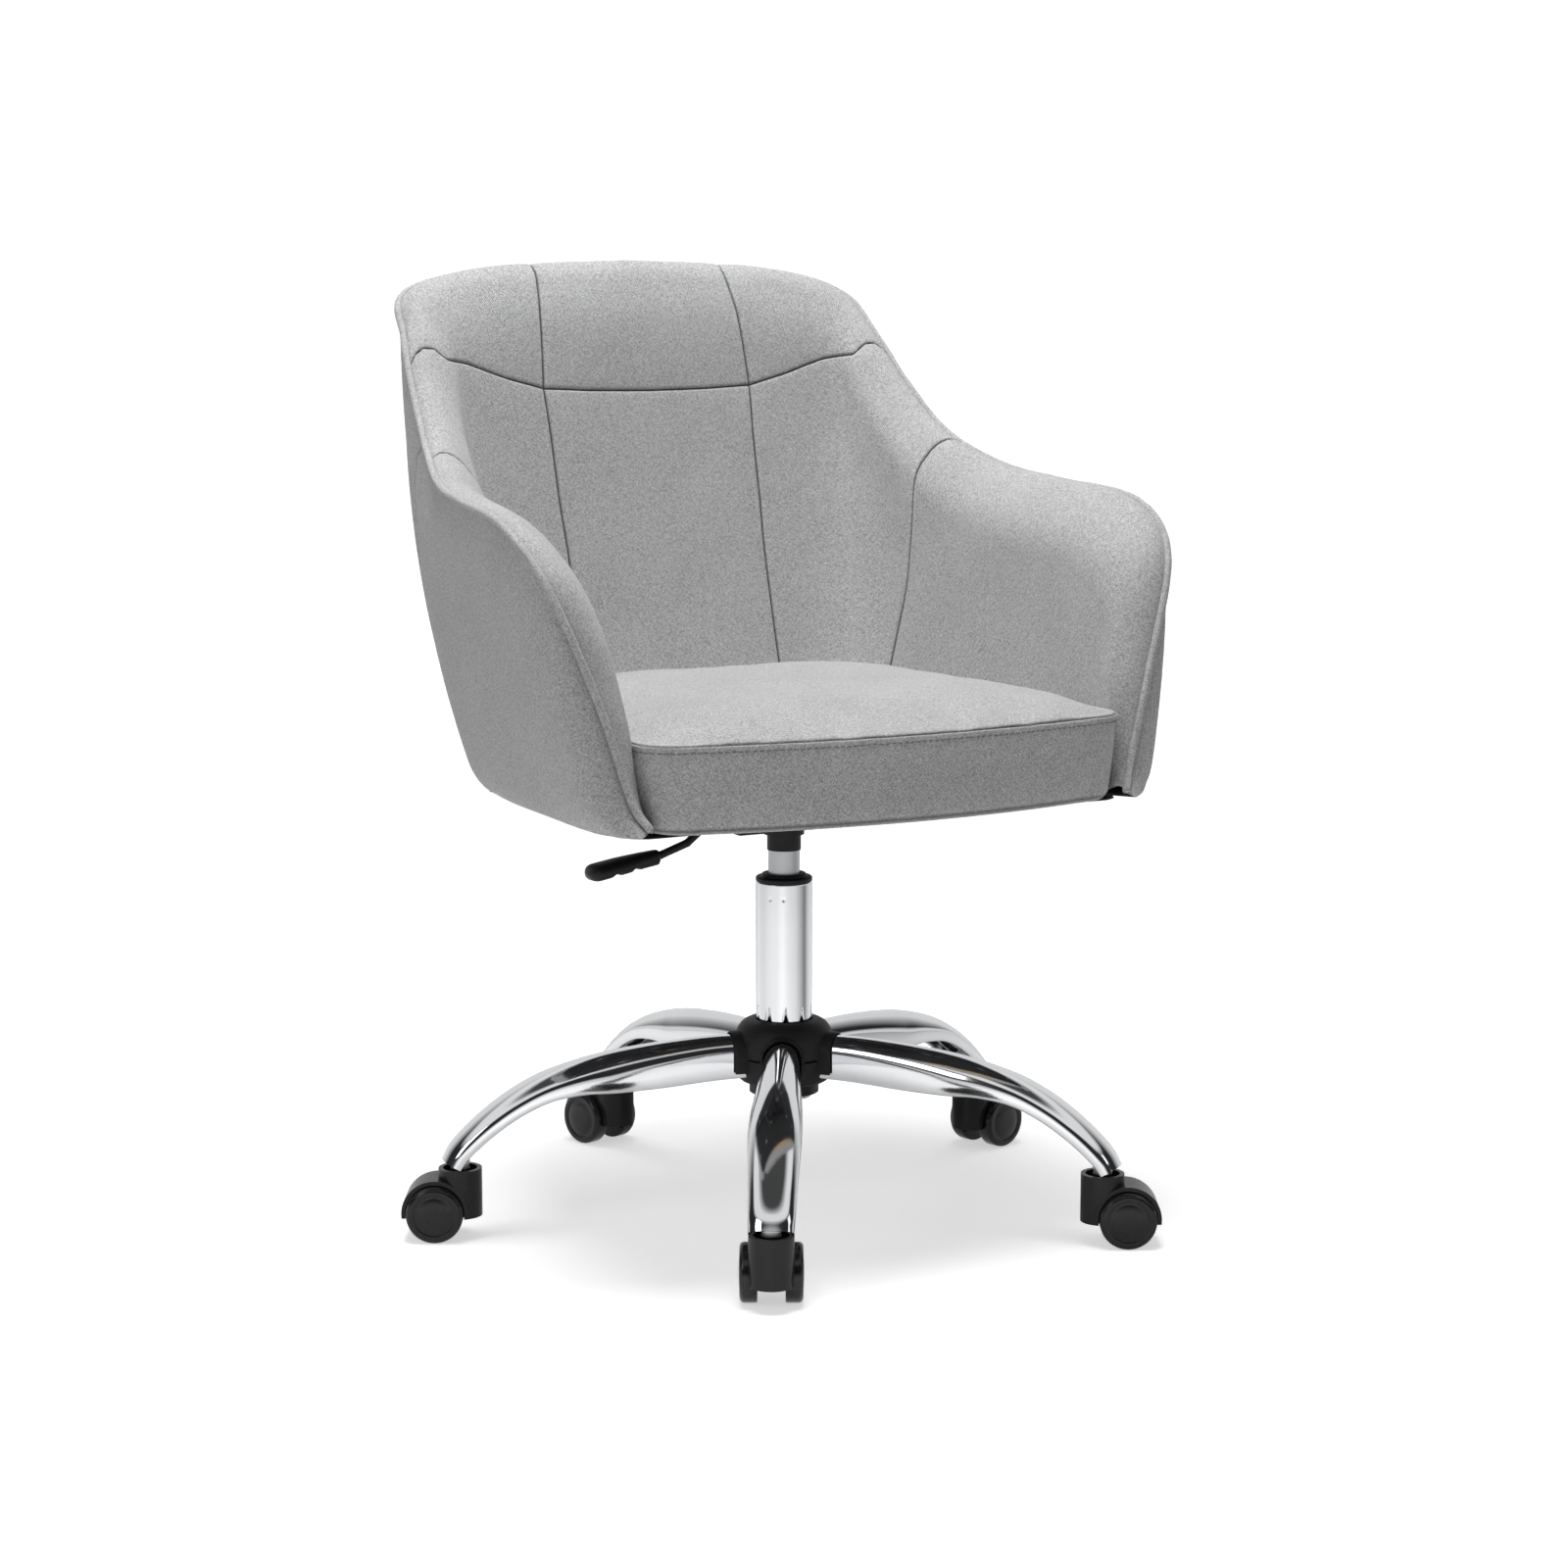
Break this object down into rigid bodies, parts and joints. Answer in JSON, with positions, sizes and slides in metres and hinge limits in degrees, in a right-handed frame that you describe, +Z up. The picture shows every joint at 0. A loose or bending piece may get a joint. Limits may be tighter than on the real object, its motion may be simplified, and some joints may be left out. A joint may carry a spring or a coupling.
{
  "type": "swivel desk chair",
  "caption": "Tub-style upholstered swivel desk chair with low arms, box cushion, gas column with lift lever, and a star base of chrome legs on twin-wheel casters.",
  "frame": {"origin": "on the column's axis, at floor level under the wheels", "axes": "+Z up along the column, -Y the way the sitter faces, -X the side of the lift lever (the sitter's right)"},
  "size_m": [0.665, 0.6215, 0.8464],
  "materials": {
    "grey_fabric": "light-mid grey melange plain weave, matt",
    "chrome": "mirror-polished chrome plate",
    "black_plastic": "moulded nylon, fine satin texture",
    "wheel_plastic": "moulded nylon, glossy",
    "steel": "zinc-plated or ground steel",
    "grey_steel": "grey enamel on the gas cylinder",
    "black_steel": "black powder coat",
    "bush_plastic": "natural acetal",
    "rubber": "moulded rubber",
    "plywood": "birch plywood",
    "dust_cloth": "black spun-bonded cloth"
  },
  "bodies": {
    "base": {"hub_socket": "steel", "leg_1": "chrome", "leg_2": "chrome", "leg_3": "chrome", "leg_4": "chrome", "leg_5": "chrome", "caster_sockets": "steel", "hub_cover_upper": "black_plastic", "hub_cover_lower": "black_plastic", "column_tube": "chrome", "column_floor": "steel", "guide_bush": "bush_plastic", "cap_ring": "black_plastic", "lower_race": "steel", "bearing_balls": "steel"},
    "piston": {"piston_rod": "steel", "upper_race": "steel", "retaining_clip": "steel", "rubber_bumper": "rubber"},
    "seat": {"gas_cylinder": "grey_steel", "taper_collar": "black_plastic", "seat_socket": "black_steel", "seat_plate": "black_steel", "pivot_pin": "steel", "plate_bolts": "steel", "tee_nuts": "steel", "cross_straps": "steel", "strap_screws": "steel", "seat_board": "plywood", "seat_cushion": "grey_fabric", "tub_shell": "plywood", "tub_pad": "grey_fabric", "outer_cover": "grey_fabric", "welt": "grey_fabric", "dust_cover": "dust_cloth"},
    "lever": {"lever_rod": "black_steel", "lever_paddle": "black_plastic"},
    "valve": {"valve_pin": "steel"},
    "caster_1": {"caster_hood_1": "black_plastic", "caster_stem_1": "steel"},
    "wheel_left_1": {"wheel_left_1": "wheel_plastic"},
    "wheel_right_1": {"wheel_right_1": "wheel_plastic"},
    "caster_2": {"caster_hood_2": "black_plastic", "caster_stem_2": "steel"},
    "wheel_left_2": {"wheel_left_2": "wheel_plastic"},
    "wheel_right_2": {"wheel_right_2": "wheel_plastic"},
    "caster_3": {"caster_hood_3": "black_plastic", "caster_stem_3": "steel"},
    "wheel_left_3": {"wheel_left_3": "wheel_plastic"},
    "wheel_right_3": {"wheel_right_3": "wheel_plastic"},
    "caster_4": {"caster_hood_4": "black_plastic", "caster_stem_4": "steel"},
    "wheel_left_4": {"wheel_left_4": "wheel_plastic"},
    "wheel_right_4": {"wheel_right_4": "wheel_plastic"},
    "caster_5": {"caster_hood_5": "black_plastic", "caster_stem_5": "steel"},
    "wheel_left_5": {"wheel_left_5": "wheel_plastic"},
    "wheel_right_5": {"wheel_right_5": "wheel_plastic"}
  },
  "joints": [
    {"name": "seat_swivel", "type": "hinge", "parent": "base", "child": "piston", "pos_m": [0, 0, 0.1], "axis": [0, 0, 1], "continuous": true},
    {"name": "seat_lift", "type": "slide", "parent": "piston", "child": "seat", "axis": [0, 0, 1], "range_m": [0, 0.1]},
    {"name": "lever_lift", "type": "hinge", "parent": "seat", "child": "lever", "pos_m": [-0.025, 0, 0.364], "axis": [0, 1, 0], "range_deg": [0, 8], "stiffness_Nm_per_rad": 1.5, "springref_deg": -5.73},
    {"name": "valve_press", "type": "slide", "parent": "seat", "child": "valve", "axis": [0, 0, -1], "range_m": [0, 0.0035], "stiffness_N_per_m": 500, "springref_m": -0.002},
    {"name": "caster_1_swivel", "type": "hinge", "parent": "base", "child": "caster_1", "pos_m": [-0.1475, -0.25548, 0.07], "axis": [0, 0, 1], "continuous": true},
    {"name": "wheel_left_1_roll", "type": "hinge", "parent": "caster_1", "child": "wheel_left_1", "pos_m": [-0.13764, -0.23694, 0.025], "axis": [-0.8829, 0.4695, 0], "continuous": true},
    {"name": "wheel_right_1_roll", "type": "hinge", "parent": "caster_1", "child": "wheel_right_1", "pos_m": [-0.13764, -0.23694, 0.025], "axis": [-0.8829, 0.4695, 0], "continuous": true},
    {"name": "caster_2_swivel", "type": "hinge", "parent": "base", "child": "caster_2", "pos_m": [-0.28855, 0.06133, 0.07], "axis": [0, 0, 1], "continuous": true},
    {"name": "wheel_left_2_roll", "type": "hinge", "parent": "caster_2", "child": "wheel_left_2", "pos_m": [-0.3071, 0.07119, 0.025], "axis": [-0.4695, -0.8829, 0], "continuous": true},
    {"name": "wheel_right_2_roll", "type": "hinge", "parent": "caster_2", "child": "wheel_right_2", "pos_m": [-0.3071, 0.07119, 0.025], "axis": [-0.4695, -0.8829, 0], "continuous": true},
    {"name": "caster_3_swivel", "type": "hinge", "parent": "base", "child": "caster_3", "pos_m": [-0.03084, 0.29338, 0.07], "axis": [0, 0, 1], "continuous": true},
    {"name": "wheel_left_3_roll", "type": "hinge", "parent": "caster_3", "child": "wheel_left_3", "pos_m": [-0.03698, 0.31347, 0.025], "axis": [-0.9563, -0.2924, 0], "continuous": true},
    {"name": "wheel_right_3_roll", "type": "hinge", "parent": "caster_3", "child": "wheel_right_3", "pos_m": [-0.03698, 0.31347, 0.025], "axis": [-0.9563, -0.2924, 0], "continuous": true},
    {"name": "caster_4_swivel", "type": "hinge", "parent": "base", "child": "caster_4", "pos_m": [0.2695, 0.11999, 0.07], "axis": [0, 0, 1], "continuous": true},
    {"name": "wheel_left_4_roll", "type": "hinge", "parent": "caster_4", "child": "wheel_left_4", "pos_m": [0.28958, 0.12613, 0.025], "axis": [-0.2924, 0.9563, 0], "continuous": true},
    {"name": "wheel_right_4_roll", "type": "hinge", "parent": "caster_4", "child": "wheel_right_4", "pos_m": [0.28958, 0.12613, 0.025], "axis": [-0.2924, 0.9563, 0], "continuous": true},
    {"name": "caster_5_swivel", "type": "hinge", "parent": "base", "child": "caster_5", "pos_m": [0.19739, -0.21923, 0.07], "axis": [0, 0, 1], "continuous": true},
    {"name": "wheel_left_5_roll", "type": "hinge", "parent": "caster_5", "child": "wheel_left_5", "pos_m": [0.21594, -0.22909, 0.025], "axis": [0.4695, 0.8829, 0], "continuous": true},
    {"name": "wheel_right_5_roll", "type": "hinge", "parent": "caster_5", "child": "wheel_right_5", "pos_m": [0.21594, -0.22909, 0.025], "axis": [0.4695, 0.8829, 0], "continuous": true}
  ],
  "couplings": [
    {"joint": "valve_press", "follows": "lever_lift", "m_per_rad": 0.025}
  ]
}
